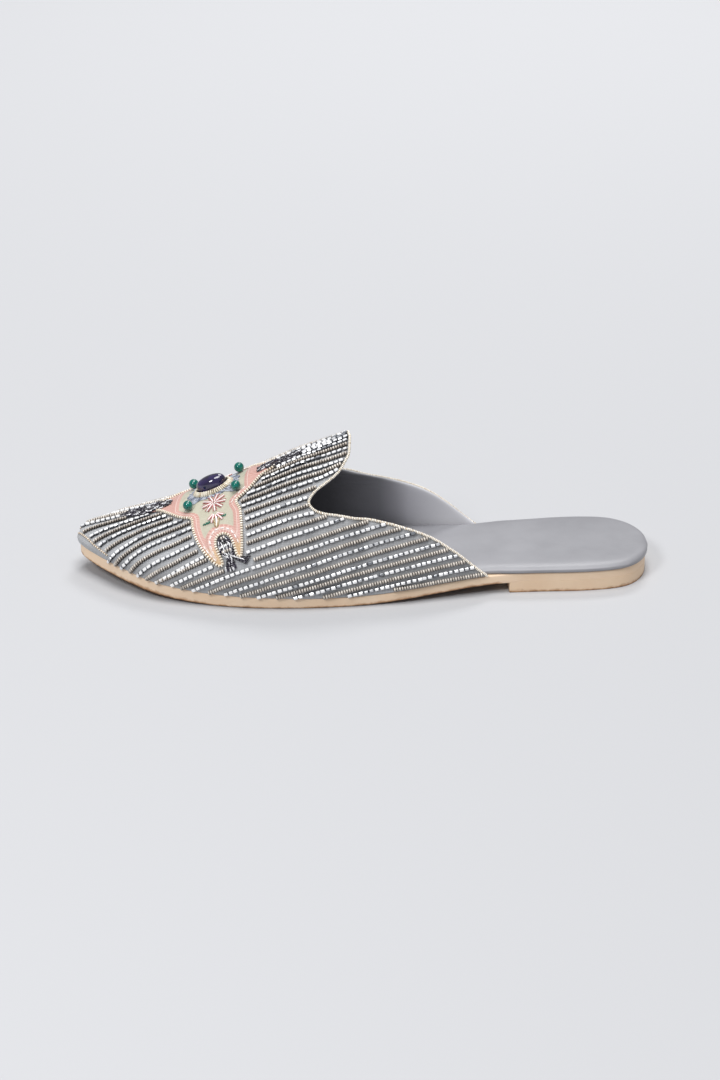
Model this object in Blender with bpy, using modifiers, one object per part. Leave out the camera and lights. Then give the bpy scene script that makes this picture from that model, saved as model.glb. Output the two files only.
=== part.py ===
# Embroidered mule for the left foot: hollow beaded upper, open back, flat leather sole with a low heel lift.
# The toe points to -X, the lateral side to -Y, and the shoe stands on z = 0.

import math
from bisect import bisect_right
from collections import namedtuple

import bmesh
import bpy
from mathutils import Matrix, Vector

MM = 0.001

# Driving dimensions
SOLE_LENGTH = 263.0
HEEL_BREAST = 196.3
GAP = 0.3
INSOLE_THICKNESS = 3.0
INSOLE_EDGE = 1.4
INSOLE_ROUND = 4.0
INSOLE_OVERHANG = 1.0
INSOLE_WIDENS = (190.5, 195.5)
INSOLE_CLEARANCE = 0.75
WALL = 1.8
UPPER_OVERHANG = 0.2
LEAN_LIFT = 0.4
TOE_BULGE = 1.2
MEDIAL_BACK = 2.4
MEDIAL_HEIGHTS = (28.0, 44.0)
BINDING_RADIUS = 0.75
BINDING_GAP = 0.35
BINDING_TRIM = 0.3
MOTIF_STATION = 62.8
MOTIF_LEAN = 0.006
CREST_STRETCH = 1.075
APPLIQUE_GAP = 0.55
APPLIQUE_THICKNESS = 0.5
CABOCHON = Vector((7.2, 4.3, 4.6))
CABOCHON_GIRDLE = 1.6
RING_LENGTH = 8.9
RING_WIDTH = 6.2
RING_RADIUS = 1.1
CABOCHON_ALONG = 0.5
BEAD_RADIUS = 2.35
BEAD_SEATS = ((-10.6, 12.5), (13.0, 10.6), (13.0, -8.6), (-10.6, -10.4))

# Mesh fineness
SOLE_COLUMNS = 37
SOLE_ROWS = 4
LIFT_COLUMNS = 14
INSOLE_COLUMNS = 36
INSOLE_ROWS = 8
UPPER_COLUMNS = 26
TOPLINE_STEPS = 28
PATH_MARKS = 120
NOTCH_CROWDING = 2.5
NOTCH_REACH = 9.0
PEAK_CROWDING = 4.0
PEAK_REACH = 5.0
APPLIQUE_TURNS = 48
APPLIQUE_RINGS = 10
ARC_STEPS = 48
TANGENT_STEP = 0.002
NORMAL_STEP = 0.004
MERGE = 0.001
STONE_SEGMENTS = (20, 12)
RING_SEGMENTS = (26, 8)
BEAD_SEGMENTS = (12, 8)
SMOOTH_ANGLE = math.radians(40)

# Brings the peak of x * (1 - x) ** 2 to 1
BULGE_SCALE = 27 / 4

# Sole: distance from the toe, shift of the centreline (+ medial), half width, height of the underside,
# thickness
SoleSection = namedtuple("SoleSection", "station centre half_width underside thickness")
SOLE = (
    SoleSection(0.0, -1.5, 0.0, 7.9, 5.2),
    SoleSection(9.5, -2.3, 13.8, 6.3, 5.8),
    SoleSection(28.5, -4.0, 27.9, 4.0, 6.1),
    SoleSection(47.5, -6.4, 35.7, 1.5, 6.1),
    SoleSection(66.5, -7.8, 39.2, 0.2, 5.8),
    SoleSection(85.5, -8.7, 41.0, 0.0, 5.5),
    SoleSection(104.5, -9.0, 40.7, 0.0, 5.0),
    SoleSection(123.5, -8.7, 39.1, 0.0, 4.7),
    SoleSection(149.5, -7.7, 36.0, 1.6, 4.6),
    SoleSection(167.5, -6.8, 32.0, 3.2, 4.5),
    SoleSection(187.5, -5.3, 28.7, 4.6, 4.5),
    SoleSection(199.5, -4.3, 27.7, 4.9, 4.5),
    SoleSection(213.5, -2.9, 28.3, 4.9, 4.5),
    SoleSection(227.5, -1.4, 29.2, 4.9, 4.5),
    SoleSection(241.5, -0.1, 28.4, 4.9, 4.5),
    SoleSection(251.5, 0.8, 25.4, 4.9, 4.5),
    SoleSection(258.5, 1.4, 17.6, 4.9, 4.5),
    SoleSection(263.0, 1.8, 0.0, 4.9, 4.5),
)

# Upper: height of the crest, how soon the arch leans in (1: ellipse), how narrow its top is (1: round)
VampSection = namedtuple("VampSection", "station crest lean pinch")
VAMP = (
    VampSection(0.0, 17.9, 0.9, 1.0),
    VampSection(9.5, 22.1, 0.95, 1.0),
    VampSection(28.5, 27.6, 1.0, 1.0),
    VampSection(47.5, 34.0, 1.0, 1.0),
    VampSection(66.5, 42.0, 1.0, 1.0),
    VampSection(85.5, 50.8, 1.0, 1.0),
    VampSection(104.5, 60.0, 1.1, 1.0),
    VampSection(114.0, 63.8, 1.45, 1.0),
    VampSection(125.5, 68.8, 1.85, 1.0),
    VampSection(135.0, 72.8, 1.85, 1.35),
    VampSection(190.0, 93.0, 1.8, 1.7),
)

# Collar edge seen from the side, from the tongue's peak through the notch to the sole
CollarPoint = namedtuple("CollarPoint", "station height")
COLLAR = (
    CollarPoint(126.0, 68.9),
    CollarPoint(125.4, 64.0),
    CollarPoint(123.4, 60.6),
    CollarPoint(120.0, 56.4),
    CollarPoint(114.0, 52.4),
    CollarPoint(109.3, 49.4),
    CollarPoint(107.3, 46.4),
    CollarPoint(110.6, 43.0),
    CollarPoint(120.0, 40.8),
    CollarPoint(131.5, 38.6),
    CollarPoint(148.0, 34.4),
    CollarPoint(159.7, 29.8),
    CollarPoint(171.5, 22.0),
    CollarPoint(180.2, 14.6),
    CollarPoint(186.3, 9.7),
)

# Applique: reach from its centre at each angle from the crest line
Lobe = namedtuple("Lobe", "angle reach")
APPLIQUE = (
    Lobe(0, 32.0),
    Lobe(7, 30.8),
    Lobe(12, 26.4),
    Lobe(22, 23.8),
    Lobe(40, 22.6),
    Lobe(51, 21.0),
    Lobe(60, 19.4),
    Lobe(68, 26.4),
    Lobe(74, 32.4),
    Lobe(79.5, 38.0),
    Lobe(84, 43.0),
    Lobe(87, 45.0),
    Lobe(90, 45.4),
)

for leftover in list(bpy.data.objects):
    bpy.data.objects.remove(leftover)


def curve_through(points):
    """A smooth curve through (x, y) points that never overshoots them."""
    xs, ys = zip(*points)
    steps = [(ys[i + 1] - ys[i]) / (xs[i + 1] - xs[i]) for i in range(len(xs) - 1)]
    inner = [2 * a * b / (a + b) if a * b > 0 else 0.0 for a, b in zip(steps, steps[1:])]
    slopes = [steps[0]] + inner + [steps[-1]]

    def value(x):
        i = min(max(bisect_right(xs, x) - 1, 0), len(steps) - 1)
        width = xs[i + 1] - xs[i]
        t = (x - xs[i]) / width
        ends = (1 + 2 * t) * (1 - t) ** 2 * ys[i] + t * t * (3 - 2 * t) * ys[i + 1]
        return ends + t * (1 - t) * width * ((1 - t) * slopes[i] - t * slopes[i + 1])

    return value


def turn(station):
    """The station as a half turn from toe (0) to heel (1), which rounds both ends of an outline."""
    share = min(max(station / SOLE_LENGTH, 0.0), 1.0)
    return math.acos(1 - 2 * share) / math.pi


def station_of(q):
    return SOLE_LENGTH * (1 - math.cos(math.pi * q)) / 2


centre = curve_through([(row.station, row.centre) for row in SOLE])
half_width = curve_through([(turn(row.station), row.half_width) for row in SOLE])
underside = curve_through([(row.station, row.underside) for row in SOLE])
thickness = curve_through([(row.station, row.thickness) for row in SOLE])
crest = curve_through([(turn(row.station), row.crest) for row in VAMP])
lean = curve_through([(row.station, row.lean) for row in VAMP])
pinch = curve_through([(row.station, row.pinch) for row in VAMP])
applique_reach = curve_through([(row.angle, row.reach) for row in APPLIQUE])


def smoothstep(low, high, x):
    t = min(max((x - low) / (high - low), 0.0), 1.0)
    return t * t * (3 - 2 * t)


def spine(station):
    """The centreline in plan, and the unit direction square to it towards the medial side."""
    slope = (centre(station + 1) - centre(station - 1)) / 2
    return Vector((station, centre(station))), Vector((-slope, 1)).normalized()


def plain_edge(q, side):
    point, across = spine(station_of(q))
    return point + across * side * half_width(q)


def edge(q, side, out):
    """A point of the sole's outline moved outwards, with the outward direction. Side -1 is lateral."""
    low, high = max(q - TANGENT_STEP, 0.0), min(q + TANGENT_STEP, 1.0)
    tangent = (plain_edge(high, side) - plain_edge(low, side)).normalized()
    outward = Vector((-tangent.y, tangent.x)) * side
    if q in (0.0, 1.0):
        outward = Vector((-1 if q == 0.0 else 1, 0))
    return plain_edge(q, side) + outward * out, outward


def sole_top(station):
    return underside(station) + thickness(station)


def upper_foot(station):
    """The height of the upper's lower edge, raised where the wall leans so that it clears the sole."""
    return sole_top(station) + GAP + LEAN_LIFT * max(lean(station) - 1, 0.0)


def upper_point(q, share, side):
    """The outside of the upper: share runs from the sole (0) to the crest (1)."""
    station = station_of(q)
    rise = math.sin(share * math.pi / 2)
    spread = max(1 - rise ** (2 / lean(station)), 0.0) ** (pinch(station) / 2)
    foot, outward = edge(q, side, UPPER_OVERHANG)
    ridge, _ = spine(station)
    low = upper_foot(station)
    bulge = TOE_BULGE * BULGE_SCALE * rise * (1 - rise) ** 2
    plan = ridge + (foot - ridge) * spread + outward * bulge
    return Vector((plan.x, plan.y, low + (crest(q) - low) * rise))


def upper_share(station, height):
    """Where on its arch the upper has this height."""
    low = upper_foot(station)
    rise = min(max((height - low) / (crest(turn(station)) - low), 0.0), 1.0)
    return math.asin(rise) * 2 / math.pi


def upper_normal(q, share, side):
    step = NORMAL_STEP
    share = min(max(share, step), 1 - step)
    along = upper_point(q + step, share, side) - upper_point(q - step, share, side)
    up = upper_point(q, share + step, side) - upper_point(q, share - step, side)
    return (along.cross(up) * -side).normalized()


def on_vamp(station, arc):
    """The upper's surface at an arc length from the crest, lateral if positive, with its normal."""
    q = turn(station)
    side = -1 if arc >= 0 else 1
    travelled = 0.0
    last = upper_point(q, 1.0, side)
    share = 1.0
    for i in range(1, ARC_STEPS + 1):
        point = upper_point(q, 1 - i / ARC_STEPS, side)
        length = (point - last).length
        if travelled + length >= abs(arc):
            share = 1 - (i - 1 + (abs(arc) - travelled) / length) / ARC_STEPS
            break
        travelled += length
        last = point
    return upper_point(q, share, side), upper_normal(q, share, side)


def collar_path(count, back):
    """(turn, share) pairs along the collar from the sole to the peak, its rear set back by a distance."""
    lengths = [0.0]
    for a, b in zip(COLLAR, COLLAR[1:]):
        lengths.append(lengths[-1] + math.dist(a, b))
    station_at = curve_through(list(zip(lengths, [row.station for row in COLLAR])))
    height_at = curve_through(list(zip(lengths, [row.height for row in COLLAR])))
    notch = lengths[min(range(len(COLLAR)), key=lambda i: COLLAR[i].station)]
    marks = [lengths[-1] * i / PATH_MARKS for i in range(PATH_MARKS + 1)]
    crowding = [0.0]
    for mark in marks[1:]:
        near_notch = math.exp(-(((mark - notch) / NOTCH_REACH) ** 2))
        near_peak = math.exp(-((mark / PEAK_REACH) ** 2))
        crowding.append(crowding[-1] + 1 + NOTCH_CROWDING * near_notch + PEAK_CROWDING * near_peak)
    length_at = curve_through(list(zip(crowding, marks)))
    pairs = []
    for i in range(count + 1):
        length = length_at(crowding[-1] * (1 - i / count))
        height = height_at(length)
        station = station_at(length) + back * (1 - smoothstep(*MEDIAL_HEIGHTS, height))
        pairs.append((turn(station), upper_share(station, height)))
    pairs[0] = (pairs[0][0], 0.0)
    pairs[-1] = (pairs[-1][0], 1.0)
    return pairs


collars = {-1: collar_path(TOPLINE_STEPS, 0.0), 1: collar_path(TOPLINE_STEPS, MEDIAL_BACK)}
parts = bpy.data.collections.new("embroidered_mule")
bpy.context.scene.collection.children.link(parts)
stand = bpy.data.objects.new("mule_stand", None)
parts.objects.link(stand)


def finish(name, shape, colour, roughness):
    """Turns a bmesh in millimetres into a named object with its own material."""
    bmesh.ops.scale(shape, vec=(MM, MM, MM), verts=shape.verts)
    mesh = bpy.data.meshes.new(name)
    shape.to_mesh(mesh)
    shape.free()
    mesh.shade_smooth()
    mesh.set_sharp_from_angle(angle=SMOOTH_ANGLE)
    return place_object(name, mesh, colour, roughness)


def place_object(name, data, colour, roughness):
    material = bpy.data.materials.new(name)
    material.use_nodes = True
    shader = material.node_tree.nodes["Principled BSDF"]
    shader.inputs["Base Color"].default_value = (*colour, 1)
    shader.inputs["Roughness"].default_value = roughness
    data.materials.append(material)
    obj = bpy.data.objects.new(name, data)
    parts.objects.link(obj)
    obj.parent = stand
    return obj


def close_ends(shape):
    """Merges the points of a grid's pointed ends."""
    bmesh.ops.remove_doubles(shape, verts=shape.verts, dist=MERGE)
    bmesh.ops.dissolve_degenerate(shape, edges=shape.edges, dist=MERGE)


def draped_grid(columns, rows, place):
    """A grid whose points are placed by a function of its column and row shares."""
    shape = bmesh.new()
    bmesh.ops.create_grid(shape, x_segments=columns, y_segments=rows, size=0.5)
    for vert in shape.verts:
        vert.co = place(vert.co.x + 0.5, vert.co.y + 0.5)
    close_ends(shape)
    return shape


def slab(columns, rows, place):
    """A grid raised to a closed slab; place gives each lower point and the thickness above it."""
    shape = bmesh.new()
    bmesh.ops.create_grid(shape, x_segments=columns, y_segments=rows, size=0.5)
    rise = shape.verts.layers.float.new("rise")
    for vert in shape.verts:
        vert.co, vert[rise] = place(vert.co.x + 0.5, vert.co.y + 0.5)
    close_ends(shape)
    raised = bmesh.ops.extrude_face_region(shape, geom=list(shape.faces))
    for item in raised["geom"]:
        if isinstance(item, bmesh.types.BMVert):
            item.co.z += item[rise]
    bmesh.ops.recalc_face_normals(shape, faces=shape.faces)
    return shape


def across_sole(q, t, out):
    lateral, _ = edge(q, -1, out)
    medial, _ = edge(q, 1, out)
    return lateral.lerp(medial, t)


def make_outsole():
    def place(s, t):
        station = station_of(s)
        plan = across_sole(s, t, 0.0)
        return Vector((plan.x, plan.y, underside(station))), thickness(station)

    shape = slab(SOLE_COLUMNS, SOLE_ROWS, place)
    finish("outsole", shape, (0.66, 0.45, 0.27), 0.6)


def make_heel_lift():
    first = turn(HEEL_BREAST)

    def place(s, t):
        plan = across_sole(first + (1 - first) * s, t, 0.0)
        return Vector((plan.x, plan.y, 0.0)), SOLE[-1].underside - GAP

    shape = slab(LIFT_COLUMNS, SOLE_ROWS, place)
    finish("heel_lift", shape, (0.62, 0.42, 0.25), 0.65)


def insole_out(station):
    """How far the insole's edge lies outside the sole's: inside the wall in front, proud at the heel."""
    inside = UPPER_OVERHANG - WALL - INSOLE_CLEARANCE
    return inside + (INSOLE_OVERHANG - inside) * smoothstep(*INSOLE_WIDENS, station)


def make_insole():
    def place(s, t):
        station = station_of(s)
        row = (1 - math.cos(math.pi * t)) / 2
        plan = across_sole(s, row, insole_out(station))
        width = 2 * half_width(s)
        inward = min(row * width, (1 - row) * width, station, SOLE_LENGTH - station)
        round_off = 1 - min(inward / INSOLE_ROUND, 1.0)
        rise = INSOLE_EDGE + (INSOLE_THICKNESS - INSOLE_EDGE) * math.sqrt(1 - round_off**2)
        return Vector((plan.x, plan.y, sole_top(station) + GAP)), rise

    shape = slab(INSOLE_COLUMNS, INSOLE_ROWS, place)
    finish("insole", shape, (0.41, 0.41, 0.43), 0.5)


def make_upper():
    rows = 2 * TOPLINE_STEPS

    def place(s, t):
        row = round(t * rows)
        side = -1 if row <= TOPLINE_STEPS else 1
        index = row if side < 0 else rows - row
        q_end, share = collars[side][index]
        toe_share = collars[-1][index][1]
        return upper_point(s * q_end, toe_share + (share - toe_share) * s, side)

    shape = draped_grid(UPPER_COLUMNS, rows, place)
    obj = finish("upper", shape, (0.33, 0.37, 0.4), 0.85)
    shell = obj.modifiers.new("wall", "SOLIDIFY")
    shell.thickness = WALL * MM
    shell.offset = -1
    shell.use_even_offset = True


def collar_edge_point(index, side):
    q, share = collars[side][index]
    return upper_point(q, share, side)


def collar_cord_point(index, side):
    """The middle of the cord: off the rim, square to it, over the middle of the wall."""
    q, share = collars[side][index]
    point = upper_point(q, share, side)
    normal = upper_normal(q, share, side)
    if index == TOPLINE_STEPS:
        ahead = collar_edge_point(index - 1, 1) - collar_edge_point(index - 1, -1)
    else:
        ahead = collar_edge_point(index + 1, side) - collar_edge_point(max(index - 1, 0), side)
    out = ahead.cross(normal).normalized()
    if out.dot(point - upper_point(q - NORMAL_STEP, share, side)) < 0:
        out.negate()
    return point - normal * WALL / 2 + out * (BINDING_RADIUS + BINDING_GAP)


def make_binding():
    lateral = [collar_cord_point(i, -1) for i in range(TOPLINE_STEPS + 1)]
    medial = [collar_cord_point(i, 1) for i in range(TOPLINE_STEPS)]
    for line in (lateral, medial):
        line[0] = line[0].lerp(line[1], BINDING_TRIM)
    route = lateral + medial[::-1]
    cord = bpy.data.curves.new("topline_binding", "CURVE")
    cord.dimensions = "3D"
    cord.bevel_depth = BINDING_RADIUS * MM
    cord.bevel_resolution = 2
    cord.use_fill_caps = True
    spline = cord.splines.new("POLY")
    spline.points.add(len(route) - 1)
    for point, place in zip(spline.points, route):
        point.co = (*(place * MM), 1)
    place_object("topline_binding", cord, (0.62, 0.5, 0.38), 0.5)


def on_motif(along, across, lift):
    """A point over the vamp in the motif's own plane, with the normal there."""
    station = MOTIF_STATION + along / CREST_STRETCH + MOTIF_LEAN * across * across
    point, normal = on_vamp(station, across)
    return point + normal * lift, normal


def make_applique():
    def place(s, t):
        angle = -2 * math.pi * s
        folded = math.degrees(math.asin(min(abs(math.sin(angle)), 1.0)))
        reach = applique_reach(folded) * t
        point, _ = on_motif(reach * math.cos(angle), reach * math.sin(-angle), APPLIQUE_GAP)
        return point

    shape = draped_grid(APPLIQUE_TURNS, APPLIQUE_RINGS, place)
    bmesh.ops.recalc_face_normals(shape, faces=shape.faces)
    if sum(face.normal.z for face in shape.faces) < 0:
        bmesh.ops.reverse_faces(shape, faces=shape.faces)
    obj = finish("applique", shape, (0.72, 0.67, 0.56), 0.5)
    cloth = obj.modifiers.new("cloth", "SOLIDIFY")
    cloth.thickness = APPLIQUE_THICKNESS * MM
    cloth.offset = 1


def motif_frame(along, across, lift):
    """A matrix on the motif: x along the crest, z out of the vamp."""
    origin, normal = on_motif(along, across, lift)
    ahead, _ = on_motif(along + 1, across, lift)
    x_axis = ((ahead - origin) - normal * (ahead - origin).dot(normal)).normalized()
    y_axis = normal.cross(x_axis)
    turned = Matrix((x_axis, y_axis, normal)).transposed().to_4x4()
    return Matrix.Translation(origin) @ turned


APPLIQUE_TOP = APPLIQUE_GAP + APPLIQUE_THICKNESS


def make_cabochon():
    shape = bmesh.new()
    bmesh.ops.create_uvsphere(shape, u_segments=STONE_SEGMENTS[0], v_segments=STONE_SEGMENTS[1], radius=1)
    bmesh.ops.scale(shape, vec=CABOCHON, verts=shape.verts)
    cut = bmesh.ops.bisect_plane(
        shape,
        geom=shape.verts[:] + shape.edges[:] + shape.faces[:],
        plane_co=(0, 0, MERGE),
        plane_no=(0, 0, -1),
        clear_outer=True,
    )
    rim = [item for item in cut["geom_cut"] if isinstance(item, bmesh.types.BMEdge)]
    girdle = bmesh.ops.extrude_edge_only(shape, edges=rim)["geom"]
    lower = [item for item in girdle if isinstance(item, bmesh.types.BMVert)]
    bmesh.ops.translate(shape, vec=(0, 0, -CABOCHON_GIRDLE), verts=lower)
    bmesh.ops.holes_fill(shape, edges=[item for item in girdle if isinstance(item, bmesh.types.BMEdge)])
    bmesh.ops.recalc_face_normals(shape, faces=shape.faces)
    lift = APPLIQUE_TOP + GAP + CABOCHON_GIRDLE
    bmesh.ops.transform(shape, matrix=motif_frame(CABOCHON_ALONG, 0, lift), verts=shape.verts)
    finish("cabochon", shape, (0.02, 0.01, 0.07), 0.08)


def make_cabochon_ring():
    bpy.ops.mesh.primitive_torus_add(
        major_segments=RING_SEGMENTS[0],
        minor_segments=RING_SEGMENTS[1],
        major_radius=1,
        minor_radius=RING_RADIUS / RING_LENGTH,
    )
    torus = bpy.context.object
    shape = bmesh.new()
    shape.from_mesh(torus.data)
    bpy.data.objects.remove(torus)
    widths = Vector((RING_LENGTH, RING_WIDTH, RING_LENGTH))
    bmesh.ops.scale(shape, vec=widths, verts=shape.verts)
    lift = APPLIQUE_TOP + GAP + RING_RADIUS
    bmesh.ops.transform(shape, matrix=motif_frame(CABOCHON_ALONG, 0, lift), verts=shape.verts)
    finish("cabochon_ring", shape, (0.66, 0.55, 0.38), 0.4)


def make_green_beads():
    for number, (along, across) in enumerate(BEAD_SEATS, 1):
        shape = bmesh.new()
        bmesh.ops.create_uvsphere(
            shape, u_segments=BEAD_SEGMENTS[0], v_segments=BEAD_SEGMENTS[1], radius=BEAD_RADIUS
        )
        seat = motif_frame(along, across, APPLIQUE_TOP + GAP + BEAD_RADIUS)
        bmesh.ops.transform(shape, matrix=seat, verts=shape.verts)
        finish(f"green_bead_{number}", shape, (0.0, 0.19, 0.13), 0.2)


def stand_at_origin():
    """Moves the whole shoe so that the origin is below the middle of its box."""
    bpy.context.view_layer.update()
    graph = bpy.context.evaluated_depsgraph_get()
    corners = []
    for obj in parts.objects:
        if obj is not stand:
            evaluated = obj.evaluated_get(graph)
            corners += [vert.co.copy() for vert in evaluated.to_mesh().vertices]
            evaluated.to_mesh_clear()
    low = Vector([min(corner[i] for corner in corners) for i in range(3)])
    high = Vector([max(corner[i] for corner in corners) for i in range(3)])
    stand.location = (-(low.x + high.x) / 2, -(low.y + high.y) / 2, -low.z)


make_outsole()
make_heel_lift()
make_insole()
make_upper()
make_binding()
make_applique()
make_cabochon()
make_cabochon_ring()
make_green_beads()
stand_at_origin()
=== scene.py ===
# Embroidered mule, left foot: cloth, beads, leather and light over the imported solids
import math
from bisect import bisect_right

import bpy
import numpy as np
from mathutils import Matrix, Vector


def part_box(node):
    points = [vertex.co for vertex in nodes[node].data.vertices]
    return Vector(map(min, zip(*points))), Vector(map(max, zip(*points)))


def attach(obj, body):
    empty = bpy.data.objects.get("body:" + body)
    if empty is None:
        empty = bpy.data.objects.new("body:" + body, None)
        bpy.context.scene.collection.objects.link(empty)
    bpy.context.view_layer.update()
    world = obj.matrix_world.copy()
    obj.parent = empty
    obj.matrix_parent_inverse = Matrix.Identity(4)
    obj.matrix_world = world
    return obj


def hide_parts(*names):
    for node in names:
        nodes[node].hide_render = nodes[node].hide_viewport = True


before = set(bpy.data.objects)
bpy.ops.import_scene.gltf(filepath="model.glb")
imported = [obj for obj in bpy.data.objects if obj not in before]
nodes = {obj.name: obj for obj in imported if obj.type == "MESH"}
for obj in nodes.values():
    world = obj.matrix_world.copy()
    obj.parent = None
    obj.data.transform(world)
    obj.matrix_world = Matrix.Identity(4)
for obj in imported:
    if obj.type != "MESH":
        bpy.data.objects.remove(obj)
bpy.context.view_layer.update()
mm = 0.001
dice = np.random.default_rng(11)
print("frame loaded:", len(nodes), "solids")


# working habits: select, apply, copy
def clearSelection():
    if bpy.context.object and bpy.context.object.mode != "OBJECT":
        bpy.ops.object.mode_set(mode="OBJECT")
    bpy.ops.object.select_all(action="DESELECT")


def makeActive(piece):
    clearSelection()
    piece.select_set(True)
    bpy.context.view_layer.objects.active = piece


def applyModifier(piece, kind, **settings):
    makeActive(piece)
    modifier = piece.modifiers.new(kind.lower(), kind)
    for key, value in settings.items():
        setattr(modifier, key, value)
    bpy.ops.object.modifier_apply(modifier=modifier.name)


def smoothByAngle(piece, degrees):
    makeActive(piece)
    bpy.ops.object.shade_smooth_by_angle(angle=math.radians(degrees))


def addPiece(name, data):
    piece = bpy.data.objects.new(name, data)
    bpy.context.scene.collection.objects.link(piece)
    return piece


def copyOfNode(nodeName, pieceName):
    piece = addPiece(pieceName, nodes[nodeName].data.copy())
    piece.data.name = pieceName
    piece.data.materials.clear()
    makeActive(piece)
    bpy.ops.object.mode_set(mode="EDIT")
    bpy.ops.mesh.select_all(action="SELECT")
    bpy.ops.mesh.remove_doubles(threshold=0.01 * mm)
    bpy.ops.mesh.tris_convert_to_quads(face_threshold=math.radians(50), shape_threshold=math.radians(60))
    bpy.ops.object.mode_set(mode="OBJECT")
    return piece


# colour and node helpers
def srgb(text):
    parts = [int(text[i : i + 2], 16) / 255 for i in (1, 3, 5)]
    return (*[p / 12.92 if p <= 0.04045 else ((p + 0.055) / 1.055) ** 2.4 for p in parts], 1)


def setSockets(tree, node, sockets):
    for key, value in sockets.items():
        if isinstance(value, bpy.types.NodeSocket):
            tree.links.new(value, node.inputs[key])
        else:
            node.inputs[key].default_value = value


def addNode(tree, kind, sockets, stops=None, **settings):
    node = tree.nodes.new("ShaderNode" + kind)
    for key, value in settings.items():
        setattr(node, key, value)
    if stops:
        ramp = node.color_ramp.elements
        while len(ramp) < len(stops):
            ramp.new(1.0)
        for element, (place, colour) in zip(ramp, stops):
            element.position = place
            element.color = srgb(colour)
    setSockets(tree, node, sockets)
    return node


def newMaterial(name, sockets):
    made = bpy.data.materials.new(name)
    made.use_nodes = True
    tree = made.node_tree
    setSockets(tree, tree.nodes["Principled BSDF"], sockets)
    return made, tree, tree.nodes["Principled BSDF"]


def grainScale(sizeMm):
    return 1 / (sizeMm * mm)


def waveScale(periodMm):
    return 2 * math.pi / (20 * periodMm * mm)


def objectPlace(tree):
    return addNode(tree, "TexCoord", {}).outputs["Object"]


def attribute(tree, name):
    return addNode(tree, "Attribute", {}, attribute_name=name).outputs["Fac"]


def clouds(tree, patch, detail, **more):
    sockets = {"Vector": objectPlace(tree), "Scale": grainScale(patch), "Detail": detail, **more}
    return addNode(tree, "TexNoise", sockets).outputs["Fac"]


def colourRamp(tree, factor, *stops):
    return addNode(tree, "ValToRGB", {"Fac": factor}, stops=stops).outputs["Color"]


def mixed(tree, factor, first, second, blend="MIX"):
    sockets = {0: factor, 6: first, 7: second}
    return addNode(tree, "Mix", sockets, data_type="RGBA", blend_type=blend).outputs[2]


def calculated(tree, operation, *values):
    return addNode(tree, "Math", dict(enumerate(values)), operation=operation).outputs["Value"]


def raised(tree, height, strength, depthMm):
    sockets = {"Height": height, "Strength": strength, "Distance": depthMm * mm}
    return addNode(tree, "Bump", sockets).outputs["Normal"]


def clamped(value):
    return min(max(value, 0), 1)


# the last's own shape, in millimetres from the toe, as the solids have it
last = {
    "length": 263.0,
    "gap": 0.3,
    "overhang": 0.2,
    "leanLift": 0.4,
    "toeBulge": 1.2,
    "breast": 194.0,
    "medialBack": 2.4,
    "medialHeights": (28.0, 44.0),
    "shift": (-131.32, 8.74),
}
# station, centreline shift, half width, underside, thickness
soleRows = (
    (0.0, -1.5, 0.0, 7.9, 5.2),
    (9.5, -2.3, 13.8, 6.3, 5.8),
    (28.5, -4.0, 27.9, 4.0, 6.1),
    (47.5, -6.4, 35.7, 1.5, 6.1),
    (66.5, -7.8, 39.2, 0.2, 5.8),
    (85.5, -8.7, 41.0, 0.0, 5.5),
    (104.5, -9.0, 40.7, 0.0, 5.0),
    (123.5, -8.7, 39.1, 0.0, 4.7),
    (149.5, -7.7, 36.0, 1.6, 4.6),
    (167.5, -6.8, 32.0, 3.2, 4.5),
    (187.5, -5.3, 28.7, 4.6, 4.5),
    (199.5, -4.3, 27.7, 4.9, 4.5),
    (213.5, -2.9, 28.3, 4.9, 4.5),
    (227.5, -1.4, 29.2, 4.9, 4.5),
    (241.5, -0.1, 28.4, 4.9, 4.5),
    (251.5, 0.8, 25.4, 4.9, 4.5),
    (258.5, 1.4, 17.6, 4.9, 4.5),
    (263.0, 1.8, 0.0, 4.9, 4.5),
)
# station, crest height, lean, pinch
vampRows = (
    (0.0, 17.9, 0.9, 1.0),
    (9.5, 22.1, 0.95, 1.0),
    (28.5, 27.6, 1.0, 1.0),
    (47.5, 34.0, 1.0, 1.0),
    (66.5, 42.0, 1.0, 1.0),
    (85.5, 50.8, 1.0, 1.0),
    (104.5, 60.0, 1.1, 1.0),
    (114.0, 63.8, 1.45, 1.0),
    (125.5, 68.8, 1.85, 1.0),
    (135.0, 72.8, 1.85, 1.35),
    (190.0, 93.0, 1.8, 1.7),
)
# collar edge from the tongue's peak through the notch to the sole: station, height
collarRows = (
    (126.0, 68.9),
    (125.4, 64.0),
    (123.4, 60.6),
    (120.0, 56.4),
    (114.0, 52.4),
    (109.3, 49.4),
    (107.3, 46.4),
    (110.6, 43.0),
    (120.0, 40.8),
    (131.5, 38.6),
    (148.0, 34.4),
    (159.7, 29.8),
    (171.5, 22.0),
    (180.2, 14.6),
    (186.3, 9.7),
)


def curveThrough(xs, ys):
    steps = [(ys[i + 1] - ys[i]) / (xs[i + 1] - xs[i]) for i in range(len(xs) - 1)]
    inner = [2 * a * b / (a + b) if a * b > 0 else 0.0 for a, b in zip(steps, steps[1:])]
    slopes = [steps[0]] + inner + [steps[-1]]

    def value(x):
        i = min(max(bisect_right(xs, x) - 1, 0), len(steps) - 1)
        width = xs[i + 1] - xs[i]
        t = (x - xs[i]) / width
        ends = (1 + 2 * t) * (1 - t) ** 2 * ys[i] + t * t * (3 - 2 * t) * ys[i + 1]
        return ends + t * (1 - t) * width * ((1 - t) * slopes[i] - t * slopes[i + 1])

    return value


def turnOf(station):
    return math.acos(1 - 2 * clamped(station / last["length"])) / math.pi


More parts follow.
